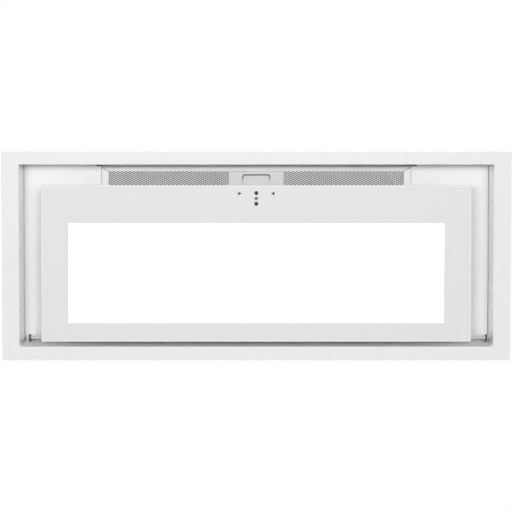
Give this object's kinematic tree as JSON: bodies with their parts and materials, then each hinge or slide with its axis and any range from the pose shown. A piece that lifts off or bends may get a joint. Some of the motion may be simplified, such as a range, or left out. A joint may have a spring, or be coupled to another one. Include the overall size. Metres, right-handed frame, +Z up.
{
  "type": "built-in range hood",
  "caption": "Built-in range hood for a wall cabinet: white trim frame, hinged glass panel with a flush light, grease filter with latch, blower, duct collar with back-draught flaps.",
  "frame": {"origin": "middle of the flange, on the plane of the flange that bears on the underside of the cabinet", "axes": "+X along the width to the right as seen in the picture, -Y towards the cook, +Z up towards the duct"},
  "size_m": [0.72, 0.295, 0.3107],
  "materials": {
    "white_enamel": "satin powder coat",
    "galvanised_sheet": "spangled zinc",
    "zinc_fasteners": "bright zinc",
    "black_steel": "black phosphate",
    "pin_steel": "ground",
    "white_plastic": "moulded",
    "magnet_nickel": "nickel plated",
    "white_glass": "back-painted, polished bevel",
    "opal_window": "opal acrylic",
    "clear_acrylic": "clear acrylic",
    "white_film": "reflector film",
    "led_board": "aluminium-backed board",
    "circuit_board": "solder mask",
    "dark_lens": "infrared window",
    "grey_lens": "light pipe",
    "grey_ink": "ceramic ink",
    "filter_aluminium": "anodised",
    "pull_plastic": "moulded, light grey",
    "spring_steel": "spring strip",
    "scroll_plastic": "moulded",
    "wheel_plastic": "moulded",
    "motor_aluminium": "die-cast",
    "bearing_bronze": "sintered",
    "core_iron": "laminated",
    "rubber_black": "moulded",
    "duct_plastic": "moulded, black",
    "box_plastic": "moulded, grey",
    "capacitor_can": "moulded",
    "terminal_plastic": "moulded",
    "white_sheath": "sheathed flex",
    "grey_sheath": "sheathed flex"
  },
  "bodies": {
    "housing": {"trim_frame": "white_enamel", "plenum_shell": "galvanised_sheet", "base_plate": "white_enamel", "hinge_rail": "white_enamel", "plenum_rivets": "zinc_fasteners", "motor_housing": "galvanised_sheet", "motor_cover": "galvanised_sheet", "sheet_screws": "zinc_fasteners", "hinge_ears": "black_steel", "hinge_pins": "pin_steel", "catch_posts": "white_plastic", "catch_magnets": "magnet_nickel", "lead_clip_upper": "white_plastic", "panel_lead": "white_sheath", "filter_frame": "filter_aluminium", "filter_mesh_lower": "filter_aluminium", "filter_core": "filter_aluminium", "filter_mesh_upper": "filter_aluminium", "filter_handle": "pull_plastic", "latch_spring": "spring_steel", "latch_keeper": "zinc_fasteners", "scroll_left": "scroll_plastic", "scroll_right": "scroll_plastic", "motor_bell_outer": "motor_aluminium", "motor_bell_inner": "motor_aluminium", "motor_bearings": "bearing_bronze", "stator": "core_iron", "motor_spider": "zinc_fasteners", "rubber_bushes": "rubber_black", "outlet_collar": "duct_plastic", "flap_axle": "pin_steel", "control_box": "box_plastic", "control_lid": "box_plastic", "control_screws": "zinc_fasteners", "control_board": "circuit_board", "run_capacitor": "capacitor_can", "terminal_block": "terminal_plastic", "cable_gland": "rubber_black", "motor_lead": "grey_sheath", "lead_grommets": "rubber_black"},
    "panel": {"glass_panel": "white_glass", "light_window": "opal_window", "light_guide": "clear_acrylic", "reflector_sheet": "white_film", "led_strips": "led_board", "panel_tray": "white_enamel", "sensor_board": "circuit_board", "sensor_lenses": "dark_lens", "indicator_lens": "grey_lens", "arrow_marks": "grey_ink", "hinge_blocks": "white_plastic", "strike_plates": "zinc_fasteners", "lead_clip_lower": "white_plastic"},
    "latch": {"filter_latch": "pull_plastic"},
    "impeller": {"fan_wheel": "wheel_plastic", "motor_shaft": "pin_steel", "hub_nut": "zinc_fasteners", "rotor": "core_iron"},
    "front_flap": {"flap_front": "duct_plastic"},
    "rear_flap": {"flap_rear": "duct_plastic"}
  },
  "joints": [
    {"name": "panel_hinge", "type": "hinge", "parent": "housing", "child": "panel", "pos_m": [0, 0.1158, 0.0055], "axis": [1, 0, 0], "range_deg": [0, 90], "deforming": ["panel_lead"]},
    {"name": "filter_latch_slide", "type": "slide", "parent": "housing", "child": "latch", "axis": [0, 1, 0], "range_m": [0, 0.0035], "stiffness_N_per_m": 600, "springref_m": -0.003, "deforming": ["latch_spring"]},
    {"name": "impeller_spin", "type": "hinge", "parent": "housing", "child": "impeller", "pos_m": [0, -0.02, 0.164], "axis": [1, 0, 0], "continuous": true},
    {"name": "flap_front_swing", "type": "hinge", "parent": "housing", "child": "front_flap", "pos_m": [0, 0.0445, 0.2747], "axis": [-1, 0, 0], "range_deg": [0, 75]},
    {"name": "flap_rear_swing", "type": "hinge", "parent": "housing", "child": "rear_flap", "pos_m": [0, 0.0445, 0.2747], "axis": [1, 0, 0], "range_deg": [0, 75]}
  ]
}
